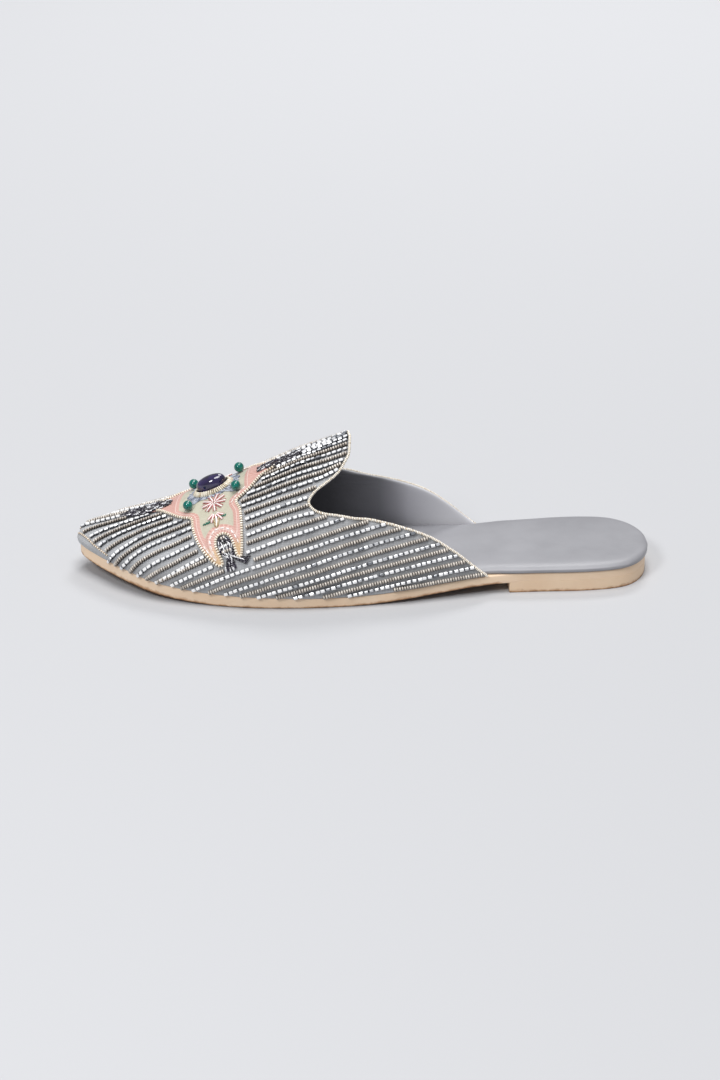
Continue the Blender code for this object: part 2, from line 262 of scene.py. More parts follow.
soleStations, centres, halfWidths, undersides, thicknesses = (list(column) for column in zip(*soleRows))
vampStations, crests, leans, pinches = (list(column) for column in zip(*vampRows))
centreAt = curveThrough(soleStations, centres)
halfWidthAt = curveThrough([turnOf(s) for s in soleStations], halfWidths)
undersideAt = curveThrough(soleStations, undersides)
thicknessAt = curveThrough(soleStations, thicknesses)
crestAt = curveThrough([turnOf(s) for s in vampStations], crests)
leanAt = curveThrough(vampStations, leans)
pinchAt = curveThrough(vampStations, pinches)


def spineAt(station):
    slope = (centreAt(station + 1) - centreAt(station - 1)) / 2
    return Vector((station, centreAt(station))), Vector((-slope, 1)).normalized()


def edgeAt(turn, side):
    station = last["length"] * (1 - math.cos(math.pi * turn)) / 2
    point, across = spineAt(station)
    return point + across * side * halfWidthAt(turn)


def footAt(station):
    rise = last["leanLift"] * max(leanAt(station) - 1, 0)
    return undersideAt(station) + thicknessAt(station) + last["gap"] + rise


def upperPoint(station, share, side):
    turn = turnOf(station)
    rise = math.sin(share * math.pi / 2)
    spread = max(1 - rise ** (2 / leanAt(station)), 0) ** (pinchAt(station) / 2)
    tangent = (edgeAt(min(turn + 0.002, 1), side) - edgeAt(max(turn - 0.002, 0), side)).normalized()
    outward = Vector((-tangent.y, tangent.x)) * side
    foot = edgeAt(turn, side) + outward * last["overhang"]
    ridge, _ = spineAt(station)
    plan = ridge + (foot - ridge) * spread + outward * last["toeBulge"] * 6.75 * rise * (1 - rise) ** 2
    low = footAt(station)
    return (plan.x + last["shift"][0], plan.y + last["shift"][1], low + (crestAt(turn) - low) * rise)


# both halves of the upper as tables: side 0 lateral, side 1 medial
stations = np.concatenate([np.linspace(0.3, 12, 40), np.arange(12.6, 190, 0.8)])
shares = np.linspace(0, 1, 73)
skin = np.array([[[upperPoint(s, t, side) for t in shares] for s in stations] for side in (-1, 1)])
alongSkin = np.gradient(skin, axis=1)
upSkin = np.gradient(skin, axis=2)
skinNormal = np.cross(alongSkin, upSkin)
skinNormal[1] *= -1
skinNormal /= np.linalg.norm(skinNormal, axis=3, keepdims=True) + 1e-9
if skinNormal[0, 100, 40, 2] < 0:
    skinNormal *= -1
strides = np.linalg.norm(np.diff(skin, axis=2), axis=3)
fromCrest = np.cumsum(strides[:, :, ::-1], axis=2)[:, :, ::-1]
skinArc = np.concatenate([fromCrest, np.zeros((2, len(stations), 1))], axis=2)
print("last shape tabled:", skin.shape)


def columnOf(station):
    return float(np.interp(station, stations, np.arange(len(stations))))


def markAt(marks, place):
    return float(np.interp(place, *zip(*marks)))


def onVamp(station, arc, lift=0.0):
    side = 0 if arc >= 0 else 1
    place = columnOf(station)
    low = min(int(place), len(stations) - 2)
    point, normal = np.zeros(3), np.zeros(3)
    for i, weight in ((low, low + 1 - place), (low + 1, place - low)):
        at = float(np.interp(-abs(arc), -skinArc[side, i], np.arange(len(shares))))
        j = min(int(at), len(shares) - 2)
        t = at - j
        point += weight * (skin[side, i, j] * (1 - t) + skin[side, i, j + 1] * t)
        normal += weight * (skinNormal[side, i, j] * (1 - t) + skinNormal[side, i, j + 1] * t)
    normal /= np.linalg.norm(normal)
    return point + normal * lift, normal


def soleArc(station, side):
    return float(np.interp(station, stations, skinArc[side, :, 0]))


collarSteps = [math.dist(a, b) for a, b in zip(collarRows, collarRows[1:])]
collarLengths = np.concatenate([[0], np.cumsum(collarSteps)])
collarStation = curveThrough(list(collarLengths), [row[0] for row in collarRows])
collarHeight = curveThrough(list(collarLengths), [row[1] for row in collarRows])
collarLine = np.array([(collarStation(t), collarHeight(t)) for t in np.linspace(0, collarLengths[-1], 260)])
low, high = last["medialHeights"]  # the medial edge lies further back at the rear
down = np.clip((high - collarLine[:, 1]) / (high - low), 0, 1)
setBack = last["medialBack"] * down * down * (3 - 2 * down)
collarLines = (collarLine, collarLine + np.stack([setBack, 0 * setBack], axis=1))
behind = [(207, 9), (207, 95), (126, 95)]  # far corners of the open field behind the collar
openFields = [np.concatenate([line, behind]) for line in collarLines]


def inside(polygon, x, y):
    ax, ay = polygon[:, 0], polygon[:, 1]
    bx, by = np.roll(ax, -1), np.roll(ay, -1)
    crossing = (ay > y) != (by > y)
    with np.errstate(divide="ignore", invalid="ignore"):
        reach = ax + (y - ay) * (bx - ax) / (by - ay)
    return int(np.sum(crossing & (x < reach))) % 2 == 1


def nearest(line, x, y):
    a, b = line[:-1], line[1:]
    d = b - a
    t = np.clip(((np.array((x, y)) - a) * d).sum(1) / np.maximum((d * d).sum(1), 1e-9), 0, 1)
    gaps = np.hypot(*(a + d * t[:, None] - (x, y)).T)
    i = int(gaps.argmin())
    return float(gaps[i]), i, float(t[i])


# the motif's flat plan: along the crest (+ to the throat), across from it (+ lateral)
motif = {"station": 62.8, "lean": 0.006, "stretch": 1.075, "lift": 0.55, "thick": 0.5, "band": 3.4}
petalOutline = (
    (-32.6, 0.0),
    (-32.2, 2.0),
    (-31.0, 3.7),
    (-28.9, 4.2),
    (-25.7, 5.5),
    (-21.0, 10.2),
    (-16.8, 14.8),
    (-13.2, 17.4),
    (-10.4, 19.4),
    (-10.9, 25.5),
    (-11.0, 32.5),
    (-10.2, 40.0),
    (-9.0, 44.6),
    (-7.6, 47.4),
    (-6.0, 47.6),
    (-5.1, 45.4),
    (-4.8, 42.0),
    (-4.5, 38.8),
    (-3.8, 36.0),
    (-1.6, 33.3),
    (1.4, 33.0),
    (3.4, 35.4),
    (3.4, 39.5),
    (2.5, 43.4),
    (2.0, 45.8),
    (2.9, 46.6),
    (4.5, 44.4),
    (6.6, 40.6),
    (9.0, 35.0),
    (10.8, 29.6),
    (12.0, 23.5),
    (11.2, 18.0),
    (13.6, 15.8),
    (18.3, 12.7),
    (22.0, 8.6),
    (25.2, 5.6),
    (28.8, 4.6),
    (31.0, 3.4),
    (32.0, 1.8),
    (32.3, 0.0),
)


def runAlong(points):
    return np.concatenate([[0], np.cumsum(np.linalg.norm(np.diff(points, axis=0), axis=1))])


def smoothLine(points, step):
    points = np.array(points, float)
    padded = np.concatenate([points[:1] * 2 - points[1:2], points, points[-1:] * 2 - points[-2:-1]])
    dense = []
    for a, b, c, d in zip(padded, padded[1:], padded[2:], padded[3:]):
        for t in np.linspace(0, 1, 12, endpoint=False):
            curve = 2 * b + (c - a) * t + (2 * a - 5 * b + 4 * c - d) * t**2
            dense.append(0.5 * (curve + (3 * b - a - 3 * c + d) * t**3))
    dense = np.array(dense + [points[-1]])
    run = runAlong(dense)
    marks = np.linspace(0, run[-1], max(int(round(run[-1] / step)), 1) + 1)
    return np.stack([np.interp(marks, run, dense[:, k]) for k in range(dense.shape[1])], axis=1)


halfOutline = smoothLine(petalOutline, 0.8)
motifOutline = np.concatenate([halfOutline, (halfOutline * (1, -1))[-2:0:-1]])
closedOutline = np.concatenate([motifOutline, motifOutline[:1]])


def onMotif(along, across, lift):
    station = motif["station"] + along / motif["stretch"] + motif["lean"] * across * across
    return onVamp(station, across, lift)


def motifPlace(station, arc):
    return (station - motif["station"] - motif["lean"] * arc * arc) * motif["stretch"], arc


# beads: each is modelled once, then copied into one joined mesh
def takeShape():
    made = bpy.context.object
    if made.mode != "OBJECT":
        bpy.ops.object.mode_set(mode="OBJECT")
    bpy.ops.object.transform_apply(location=True, rotation=True, scale=True)
    shape = np.array([tuple(vert.co) for vert in made.data.vertices])
    faces = [tuple(face.vertices) for face in made.data.polygons]
    bpy.data.objects.remove(made)
    return shape, faces, np.ones(len(shape))


def selectFaces(test):
    bpy.ops.mesh.select_all(action="DESELECT")
    bpy.ops.object.mode_set(mode="OBJECT")
    for face in bpy.context.object.data.polygons:
        face.select = bool(test(face))
    bpy.ops.object.mode_set(mode="EDIT")


beadSizes = {
    "silverLength": 2.36,
    "silverWidth": 1.65,
    "edge": 0.42,
    "ribStep": 1.2,
    "ribRadius": 1.08,
    "neckRadius": 0.5,
}
sideways = (0, math.pi / 2, 0)  # lays a primitive's axis along the row


def modelSilverBead():
    length, width = beadSizes["silverLength"], beadSizes["silverWidth"]
    clearSelection()
    bpy.ops.mesh.primitive_cube_add(size=1)
    bpy.ops.transform.resize(value=(length, width, width))
    bpy.ops.object.transform_apply(scale=True)
    bpy.ops.object.mode_set(mode="EDIT")
    bpy.ops.mesh.bevel(offset=beadSizes["edge"], segments=1)
    selectFaces(lambda face: abs(face.normal.x) > 0.9)
    bpy.ops.mesh.inset(thickness=0.16)
    bpy.ops.transform.resize(value=(0.8, 1, 1))
    shape, faces, _ = takeShape()
    # painted light and shade: the top is left lit, the ends and the foot are painted dark
    paintedLitTop = (shape[:, 2] > 0) & (np.abs(shape[:, 0]) < 0.47 * length)
    paintedLitTop &= shape[:, 1] > -0.45 * width
    return shape, faces, np.where(paintedLitTop, 1.0, 0.0)  # painted shade at both ends and at the foot, painted light on the top


def modelTurn(step, radius, neck):
    # a round waist that narrows to a neck at each end
    clearSelection()
    bpy.ops.mesh.primitive_cylinder_add(vertices=8, radius=radius, depth=step * 0.46, rotation=sideways)
    bpy.ops.object.transform_apply(rotation=True)
    for way in (1, -1):
        bpy.ops.object.mode_set(mode="EDIT")
        selectFaces(lambda face: face.normal.x * way > 0.9)
        bpy.ops.mesh.extrude_region_move(TRANSFORM_OT_translate={"value": (way * step * 0.27, 0, 0)})
        bpy.ops.transform.resize(value=(1, neck / radius, neck / radius))
        bpy.ops.object.mode_set(mode="OBJECT")
    shape, faces, _ = takeShape()
    # painted shade in each neck, where neighbouring turns meet; the waist is left lit
    return shape, faces, np.where(np.abs(shape[:, 0]) < 0.3 * step, 1.0, 0.0)


def modelCoilRib():
    shape, faces, shade = modelTurn(beadSizes["ribStep"], beadSizes["ribRadius"], beadSizes["neckRadius"])
    lit = np.clip(0.5 + (0.5 * shape[:, 2] + 0.5 * shape[:, 1]) / beadSizes["ribRadius"], 0.03, 1)
    return shape, faces, shade * lit  # painted shade in each neck and towards the sole, painted light on the top


def modelSeedBead(radius, step, neck=0.72):
    shape, faces, shade = modelTurn(step, radius, neck * radius)
    # painted shade at each neck, never quite black
    return shape, faces, 0.12 + 0.88 * shade


def modelBugle(length, radius):
    clearSelection()
    bpy.ops.mesh.primitive_cylinder_add(vertices=7, radius=radius, depth=length, rotation=sideways)
    bpy.ops.object.transform_apply(rotation=True)
    bpy.ops.object.mode_set(mode="EDIT")
    selectFaces(lambda face: abs(face.normal.x) > 0.9)
    bpy.ops.mesh.bevel(offset=radius * 0.4, segments=1)
    shape, faces, _ = takeShape()
    return shape, faces, 1 - 0.5 * (shape[:, 1] / radius) ** 2  # painted shade down each flank


def modelStitch(length, width):
    clearSelection()
    bpy.ops.mesh.primitive_uv_sphere_add(segments=8, ring_count=5, radius=0.5, rotation=sideways)
    bpy.ops.object.transform_apply(rotation=True)
    bpy.ops.transform.resize(value=(length, width, width * 0.8))
    return takeShape()


def frameOn(point, normal, along, swing=0.0, size=1.0, stretch=1.0):
    along = along - normal * float(along @ normal)
    along = along / np.linalg.norm(along)
    across = np.cross(normal, along)
    if swing:
        along, across = (
            along * math.cos(swing) + across * math.sin(swing),
            across * math.cos(swing) - along * math.sin(swing),
        )
    return np.stack([along * size * stretch, across * size, normal * size, point], axis=1)


def joinCopies(name, source, frames, tones, material, smooth=40, standsFor=()):
    shape, faces, shade = source
    frames = np.asarray(frames)
    corners = np.einsum("kij,nj->kni", frames[:, :, :3], shape) + frames[:, None, :, 3]
    count = len(shape)
    allFaces = [tuple(c + k * count for c in face) for k in range(len(frames)) for face in faces]
    mesh = bpy.data.meshes.new(name)
    mesh.from_pydata((corners.reshape(-1, 3) * mm).tolist(), [], allFaces)
    # the tone attribute is each copy's own tone times the painted shade of its model
    mesh.attributes.new("tone", "FLOAT", "POINT").data.foreach_set("value", np.outer(tones, shade).ravel())
    mesh.materials.append(material)
    piece = addPiece(name, mesh)
    smoothByAngle(piece, smooth)
    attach(piece, "root")
    if standsFor:
        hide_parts(*standsFor)
    print(name, len(frames), "copies,", sum(len(f) - 2 for f in faces) * len(frames), "triangles")


def alongRun(mark, run, table):
    return np.array([np.interp(mark, run, table[:, k]) for k in range(3)])


def spaced(points, normals, pitch, inset=0.05):
    run = runAlong(points)
    if run[-1] < pitch:
        return []
    count = int((run[-1] - 2 * inset * pitch) / pitch) + 1
    start = (run[-1] - (count - 1) * pitch) / 2
    placed = []
    for mark in start + pitch * np.arange(count):
        before, at, after = (alongRun(m, run, points) for m in (mark - 0.3, mark, mark + 0.3))
        normal = alongRun(mark, run, normals)
        placed.append((at, normal / np.linalg.norm(normal), after - before))
    return placed


# materials
def toneMaterial(name, stops, sockets):
    made, tree, shader = newMaterial(name, sockets)
    setSockets(tree, shader, {"Base Color": colourRamp(tree, attribute(tree, "tone"), *stops)})
    return made


# silver-lined cut glass, a mirror under glass: nearly black where the bead model paints shade, bright where
# it is left lit
silverGlass = toneMaterial(
    "silver-lined glass",
    [(0.0, "#23262e"), (0.3, "#6d7178"), (0.55, "#e6e7ea"), (1.0, "#ffffff")],
    {"Metallic": 0.1, "Roughness": 0.16, "Coat Weight": 0.6, "Coat Roughness": 0.05},
)
# bullion coil: fine wound wire with a dull taupe plating, near black in the painted shade at the necks and
# towards the sole
bullionCoil = toneMaterial(
    "taupe bullion wire",
    [(0.0, "#1f1a17"), (0.45, "#978e85"), (1.0, "#e6dfd6")],
    {"Metallic": 0.25, "Roughness": 0.34},
)
# pearl-lustre seed beads strung in two shades, dark brown in the painted shade at each neck
pearlSeed = toneMaterial(
    "pearl seed beads",
    [(0.0, "#38291d"), (0.35, "#b3987b"), (0.62, "#ece0cc"), (1.0, "#fffcf3")],
    {"Roughness": 0.28, "Coat Weight": 0.4, "Coat Roughness": 0.1},
)
# rose red for the thin dark bugles, nearly white along the top of each pale tube, pinker in the painted
# shade down its flanks
coralGlass = toneMaterial(
    "coral glass bugles",
    [(0.0, "#a84c52"), (0.3, "#c87e7c"), (0.6, "#e2c4bf"), (0.85, "#f6f1ee")],
    {"Roughness": 0.22, "Coat Weight": 0.5},
)
# gold for the darker bugles and in the painted shade down each flank, pale cream on the tops under a gloss
# coat
creamGlass = toneMaterial(
    "cream glass bugles",
    [(0.0, "#9c7a48"), (0.35, "#c9bda3"), (0.6, "#e2dac7"), (1.0, "#fffdf4")],
    {"Roughness": 0.24, "Coat Weight": 0.5},
)
# black tubes among bright ones, so that the tails sparkle
jetGlass = toneMaterial(
    "jet and silver glass",
    [(0.0, "#16131d"), (0.45, "#3a3348"), (0.55, "#b9bcc8"), (1.0, "#ffffff")],
    {"Roughness": 0.16, "Metallic": 0.1, "Coat Weight": 0.6},
)
# soft silk strands from dark to pale
slateSilk = toneMaterial(
    "slate blue silk floss",
    [(0.0, "#444c61"), (0.5, "#7e8798"), (1.0, "#c6cbd3")],
    {"Roughness": 0.4, "Sheen Weight": 0.4},
)
# deep green silk with a soft sheen
leafSilk = toneMaterial(
    "leaf green silk floss",
    [(0.0, "#064536"), (1.0, "#1a7a60")],
    {"Roughness": 0.45, "Sheen Weight": 0.3},
)
# white silk: bright dashes that catch the light
whiteSilk = toneMaterial(
    "white silk floss",
    [(0.0, "#efe6df"), (1.0, "#ffffff")],
    {"Roughness": 0.4, "Sheen Weight": 0.3},
)


def clothMaterial():
    # plain woven grey cloth: threads are really 0.3 mm, drawn at 0.7 mm so that they show
    finish = {"Roughness": 0.8, "Sheen Weight": 0.25, "Sheen Roughness": 0.4}
    made, tree, shader = newMaterial("grey woven cloth", finish)
    threads = {"Vector": objectPlace(tree), "Scale": waveScale(0.7), "Distortion": 0.6}
    warp, weft = (addNode(tree, "TexWave", threads, bands_direction=way).outputs["Fac"] for way in "XZ")
    weave = calculated(tree, "MULTIPLY", warp, weft)
    grey = colourRamp(tree, clouds(tree, 14, 4), (0.3, "#adafb2"), (0.7, "#bdbfc2"))
    woven = mixed(tree, 0.22, grey, weave, "OVERLAY")
    setSockets(tree, shader, {"Base Color": woven, "Normal": raised(tree, weave, 0.35, 0.1)})
    return made


def leatherMaterial(name, dark, light, roughness, pore, depth, coat=0.0, paintedGroundShadow=False):
    # finished leather: pores as fine cells over slow patches of colour, low gloss
    # with the ground-shadow switch on: a painted contact shadow darkens the cut edge where it meets the
    # ground, made uneven with noise
    made, tree, shader = newMaterial(name, {"Coat Weight": coat, "Coat Roughness": 0.35})
    pores = {"Vector": objectPlace(tree), "Scale": grainScale(pore)}
    cells = addNode(tree, "TexVoronoi", pores, feature="DISTANCE_TO_EDGE").outputs["Distance"]
    cloud = clouds(tree, 22, 5, Roughness=0.6)
    limits = {"Value": cloud, "To Min": roughness - 0.08, "To Max": roughness + 0.08}
    gloss = addNode(tree, "MapRange", limits).outputs["Result"]
    colour = colourRamp(tree, cloud, (0.28, dark), (0.72, light))
    # painted contact shadow along the foot of the edge
    if paintedGroundShadow:
        uneven = calculated(tree, "MULTIPLY_ADD", clouds(tree, 3, 3), 0.9, -0.45)
        height = calculated(tree, "ADD", attribute(tree, "rise"), uneven)
        edge = colourRamp(tree, height, (0.0, "#7d614a"), (0.3, "#cdb69f"), (0.7, "#ffffff"))
        colour = mixed(tree, 1.0, colour, edge, "MULTIPLY")
    bump = raised(tree, cells, depth, 0.08)
    setSockets(tree, shader, {"Base Color": colour, "Roughness": gloss, "Normal": bump})
    return made


def liningMaterial():
    # smooth pale grey leather under a painted shade that is dark inside the toe and pales towards the open
    # rear
    made = leatherMaterial("grey lining leather", "#e2e2e6", "#eaeaee", 0.5, 0.9, 0.2)
    tree = made.node_tree
    shader = tree.nodes["Principled BSDF"]
    place = addNode(tree, "SeparateXYZ", {"Vector": objectPlace(tree)}).outputs["X"]
    limits = {"Value": place, "From Min": -15 * mm, "From Max": 42 * mm}
    depth = addNode(tree, "MapRange", limits).outputs["Result"]
    # painted shade: dark inside the toe, fading to none at the open rear
    fade = colourRamp(tree, depth, (0.0, "#838386"), (0.4, "#acacaf"), (0.64, "#f2f2f4"), (1.0, "#ffffff"))
    grain = shader.inputs["Base Color"].links[0].from_socket
    setSockets(tree, shader, {"Base Color": mixed(tree, 1.0, grain, fade, "MULTIPLY")})
    return made


def satinMaterial():
    # silk satin with a satin-stitch border: 0.25 mm floss drawn at 0.9 mm so that it shows
    finish = {"Roughness": 0.42, "Sheen Weight": 0.35, "Sheen Roughness": 0.3}
    made, tree, shader = newMaterial("silk satin", finish)
    black, white = "#000000", "#ffffff"
    depth = calculated(tree, "MULTIPLY", attribute(tree, "inset"), 0.1)
    ground = colourRamp(tree, depth, (0.0, black), (0.32, black), (0.36, white))
    piping = colourRamp(tree, depth, (0.0, black), (0.16, black), (0.185, white), (0.21, black))
    turns = calculated(tree, "MULTIPLY", attribute(tree, "run"), 2 * math.pi / 0.9)
    floss = calculated(tree, "SINE", turns)
    strand = colourRamp(tree, floss, (0.0, "#e6d3cf"), (0.6, white))
    border = colourRamp(tree, attribute(tree, "warm"), (0.0, "#d6afa5"), (1.0, "#d9be96"))
    stitched = mixed(tree, 0.8, border, strand, "MULTIPLY")
    edged = mixed(tree, piping, stitched, srgb("#e4cfc7"))
    cream = colourRamp(tree, clouds(tree, 3.5, 3), (0.3, "#b9b5a2"), (0.7, "#c4c0ae"))
    colour = mixed(tree, ground, edged, cream)
    setSockets(tree, shader, {"Base Color": colour, "Normal": raised(tree, floss, 0.3, 0.1)})
    return made


def polishedMaterial(name, patch, detail, stops, sockets):
    made, tree, shader = newMaterial(name, sockets)
    setSockets(tree, shader, {"Base Color": colourRamp(tree, clouds(tree, patch, detail), *stops)})
    return made


# polished glass stone, deep indigo with cloudy depths
indigoGlass = polishedMaterial(
    "indigo glass stone",
    4,
    3,
    ((0.35, "#150e2c"), (0.7, "#2f2358")),
    {"Roughness": 0.07, "IOR": 1.54, "Coat Weight": 1.0, "Coat Roughness": 0.03},
)
# dyed agate: faint darker clouds under a high polish
greenAgate = polishedMaterial(
    "green agate",
    1.6,
    2,
    ((0.3, "#00574d"), (0.75, "#048073")),
    {"Roughness": 0.16, "Specular IOR Level": 0.3, "Coat Weight": 0.8, "Coat Roughness": 0.03},
)
greyCloth = clothMaterial()
liningLeather = liningMaterial()
insoleLeather = leatherMaterial("grey insole leather", "#8a8a8f", "#96969b", 0.42, 0.9, 0.25, 0.15)
soleLeather = leatherMaterial(
    "vegetable-tanned sole leather", "#edceae", "#f5dcc0", 0.55, 0.7, 0.35, paintedGroundShadow=True
)
liftLeather = leatherMaterial("stacked lift leather", "#e7c8a8", "#f0d7ba", 0.6, 0.7, 0.4, paintedGroundShadow=True)
print("materials made")

# leather: outsole, heel lift and insole, each with its leather and rounded rim
leatherPieces = {
    "outsole": ("tannedOutsole", soleLeather, "sole_leather", 0.5),
    "heel_lift": ("leatherHeelLift", liftLeather, "lift_leather", 0.4),
    "insole": ("greyInsole", insoleLeather, "insole_leather", 0.5),
}
# the painted ground shadow on the sole and lift fades out over the first 1.6 mm of height
leatherShape = {"glueUp": 0.85, "groundShadowHeight": 1.6, "fold": math.radians(50), "smooth": 60}
for nodeName, (pieceName, leather, slotName, rim) in leatherPieces.items():
    piece = copyOfNode(nodeName, pieceName)
    if nodeName == "heel_lift":  # glued up into the sole, so that no groove shows
        top = max(vert.co.z for vert in piece.data.vertices)
        for vert in piece.data.vertices:
            vert.co.z += leatherShape["glueUp"] * mm if vert.co.z > top / 2 else 0
    rounding = {"width": rim * mm, "segments": 2}
    applyModifier(piece, "BEVEL", limit_method="ANGLE", angle_limit=leatherShape["fold"], **rounding)
    applyModifier(piece, "SUBSURF", levels=1, render_levels=1)
    smoothByAngle(piece, leatherShape["smooth"])
    rises = []
    for vert in piece.data.vertices:
        place = vert.co / mm
        station = min(max(place.x - last["shift"][0], 0), last["length"])
        ground = undersideAt(station) if nodeName == "outsole" else 0
        onLift = nodeName == "outsole" and station > last["breast"]  # painted ground shadow only in front of the lift
        rises.append(1 if onLift else clamped((place.z - ground) / leatherShape["groundShadowHeight"]))
    piece.data.attributes.new("rise", "FLOAT", "POINT").data.foreach_set("value", rises)
    piece.data.materials.append(leather)
    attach(piece, "root")
    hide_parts(nodeName)
print("leather pieces done")

# the hollow cloth upper with its leather lining, lasted down onto the sole with a crisp foot
upperShape = {"footBand": 1.0, "press": last["gap"] + 0.05, "heart": 14, "smooth": 60}
upperCloth = copyOfNode("upper", "beadedUpper")
footEdge = set()
for vert in upperCloth.data.vertices:
    station = max(vert.co.x / mm - last["shift"][0], 0)
    if vert.co.z / mm < footAt(station) + upperShape["footBand"]:
        vert.co.z -= upperShape["press"] * mm
        footEdge.add(vert.index)
crease = upperCloth.data.attributes.new("crease_edge", "FLOAT", "EDGE")
for edge in upperCloth.data.edges:
    crease.data[edge.index].value = float(footEdge.issuperset(edge.vertices))
applyModifier(upperCloth, "SUBSURF", levels=2, render_levels=2)
upperCloth.data.materials.append(greyCloth)
upperCloth.data.materials.append(liningLeather)
for face in upperCloth.data.polygons:  # faces that look inwards are lining
    spine, _ = spineAt(face.center.x / mm - last["shift"][0])
    heart = Vector((face.center.x, (spine.y + last["shift"][1]) * mm, upperShape["heart"] * mm))
    face.material_index = 0 if face.normal.dot(face.center - heart) > 0 else 1
smoothByAngle(upperCloth, upperShape["smooth"])
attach(upperCloth, "root")
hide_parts("upper")
print("upper done")

# bead rows: the upper ones follow the crest
beadRows = {
    "silverStep": 2.5,
    "silverLift": 0.6,
    "ribLift": 0.55,
    "swing": 0.06,
    "tilt": 0.12,
    "sizes": 0.04,
    "slip": 0.12,
    "ribSwing": 0.05,
}
beadClear = {"sole": 0.3, "toeCord": 1.3, "collar": (1.25, 1.8), "tail": 0.9, "motif": 1.5}
# silver beads turn darker and duller towards the rear
rearDimming = {"toe": 0.05, "rear": 0.1, "from": -40, "length": 40, "dim": 2.4}
# each silver row: arc behind the motif, how much further out it starts, the station where it leaves the sole
rowMarks = {
    "arc": ((0, 0.0), (2, 9.6), (4, 22.2), (6, 36.8), (9, 58.2), (13, 86.0)),
    "spread": ((0, 0.0), (1, 5.5), (3, 10.0), (5, 9.8), (8, 6.0), (11, 2.7), (13, 0.0)),
    "leaves": ((0, 1.0), (2, 13.0), (4, 27.0), (6, 45.0), (9, 75.0), (11, 103.0), (13, 140.0)),
    "closing": ((2, 0.0), (3, 1.1), (4, 4.0), (5.4, 5.5), (6, 0.0)),
}
rowShape = {
    "fade": 55.0,
    "closeFrom": 103.0,
    "closeLength": 18.0,
    "split": 97.0,
    "splitArc": 2.4,
    "edgeFrom": 144.0,
    "edgeArc": 0.9,
    "dip": (0.8, 138, 12),
    "sink": (0.035, 130),
    "first": 0.8,
    "until": 187,
    "step": 0.5,
    "last": 24,
}
# the low rows run nearly straight from the sole to the collar, as seen from a little above:
# where each starts, how far it bows up and how much higher it ends
lowRows = {
    "first": 13,
    "view": 0.3,
    "off": 999,
    "starts": (
        (6.5, 42.0),
        (7, 47.3),
        (8, 56.7),
        (9, 70.5),
        (10, 84.5),
        (10.5, 92.3),
        (11, 100.0),
        (11.5, 111.5),
        (12, 122.5),
    ),
    "bow": ((6.5, 2.7), (7, 2.6), (8, 2.2), (9, 1.7), (10, 0.9), (12, 0.3)),
    "lift": ((6.5, 1.7), (9, 1.9), (10, 1.0), (12, 0.0)),
}
toeCord = {
    "seed": 0.45,
    "step": 0.7,
    "lift": 0.2,
    "arcs": ((0.5, 3.2), (2.6, 6.0), (9.8, 15.5), (17.0, 24.0)),
}
tasselSpots = ((-3.6, 48.6, 3.6), (3.4, 48.0, 3.4))  # the paisley's two tassels in the motif's plan
# half width of the jet tails that run out of the motif along the crest, to the toe and to the throat
tailMarks = {
    -1: ((20, -9), (21, 1.6), (24, 4.0), (30, 5.4), (38, 4.6), (46, 1.6), (47, -9)),
    1: ((18, -9), (19, 0.8), (23, 2.4), (30, 3.6), (38, 3.3), (46, 1.0), (47, -9)),
}


def tailHalf(along):
    return markAt(tailMarks[-1 if along < 0 else 1], abs(along))


def beadFits(station, arc):
    side = 0 if arc >= 0 else 1
    if abs(arc) > soleArc(station, side) - beadClear["sole"]:
        return False
    besideCord = markAt(toeCord["arcs"], station) - beadClear["toeCord"]
    if station < toeCord["arcs"][-1][0] and abs(arc) > besideCord:
        return False
    point, _ = onVamp(station, arc)
    if inside(openFields[side], station, point[2]):
        return False
    if nearest(collarLines[side], station, point[2])[0] < beadClear["collar"][side]:
        return False
    along, across = motifPlace(station, arc)
    if abs(across) < tailHalf(along) + beadClear["tail"]:
        return False
    if any(math.hypot(along - a, abs(across) - c) < reach for a, c, reach in tasselSpots):
        return False
    clear = nearest(closedOutline, along, across)[0] > beadClear["motif"]
    return clear and not inside(motifOutline, along, across)


def rowArc(number, station):
    # number counts silver and coil rows together, so a silver row has an even one
    arc, spread, leaves, closing = (
        markAt(rowMarks[key], number / 2) for key in ("arc", "spread", "leaves", "closing")
    )
    close = max(station - rowShape["closeFrom"], 0) / rowShape["closeLength"]
    depth, middle, width = rowShape["dip"]
    dip = depth * math.exp(-(((station - middle) / width) ** 2)) * clamped((number - 12) / 3)
    slope, start = rowShape["sink"]
    sink = slope * max(station - start, 0) * clamped((number - 16) / 8)
    flare = spread * max(1 - (station - leaves) / rowShape["fade"], 0) ** 2
    return arc + flare - closing * close**1.5 - dip + sink


def arcAtHeight(station, height):
    place = columnOf(station)
    i = min(int(place), len(stations) - 2)
    near, far = (
        float(np.interp(height, skin[0, k, :, 2] + lowRows["view"] * skin[0, k, :, 1], skinArc[0, k]))
        for k in (i, i + 1)
    )
    return near + (far - near) * (place - i)


def seenHeight(station, arc):
    point, _ = onVamp(station, arc)
    return point[2] + lowRows["view"] * point[1]


def rowPath(number):
    reach = np.arange(rowShape["first"], vampStations[-1], rowShape["step"])
    arcs = np.array([max(rowArc(number, station), 0.01) for station in reach])
    if number < lowRows["first"]:
        return reach, arcs
    begin, bow, lift = (markAt(lowRows[key], number / 2) for key in ("starts", "bow", "lift"))
    finish = max(station for station, arc in zip(reach, arcs) if beadFits(station, arc))
    low = seenHeight(begin, soleArc(begin, 0))
    high = seenHeight(finish, rowArc(number, finish)) + lift
    for i, station in enumerate(reach):
        part = (station - begin) / (finish - begin)
        height = low + (high - low) * part + 4 * bow * part * (1 - part)
        arcs[i] = arcAtHeight(station, height) if part > 0 else lowRows["off"]
    return reach, arcs


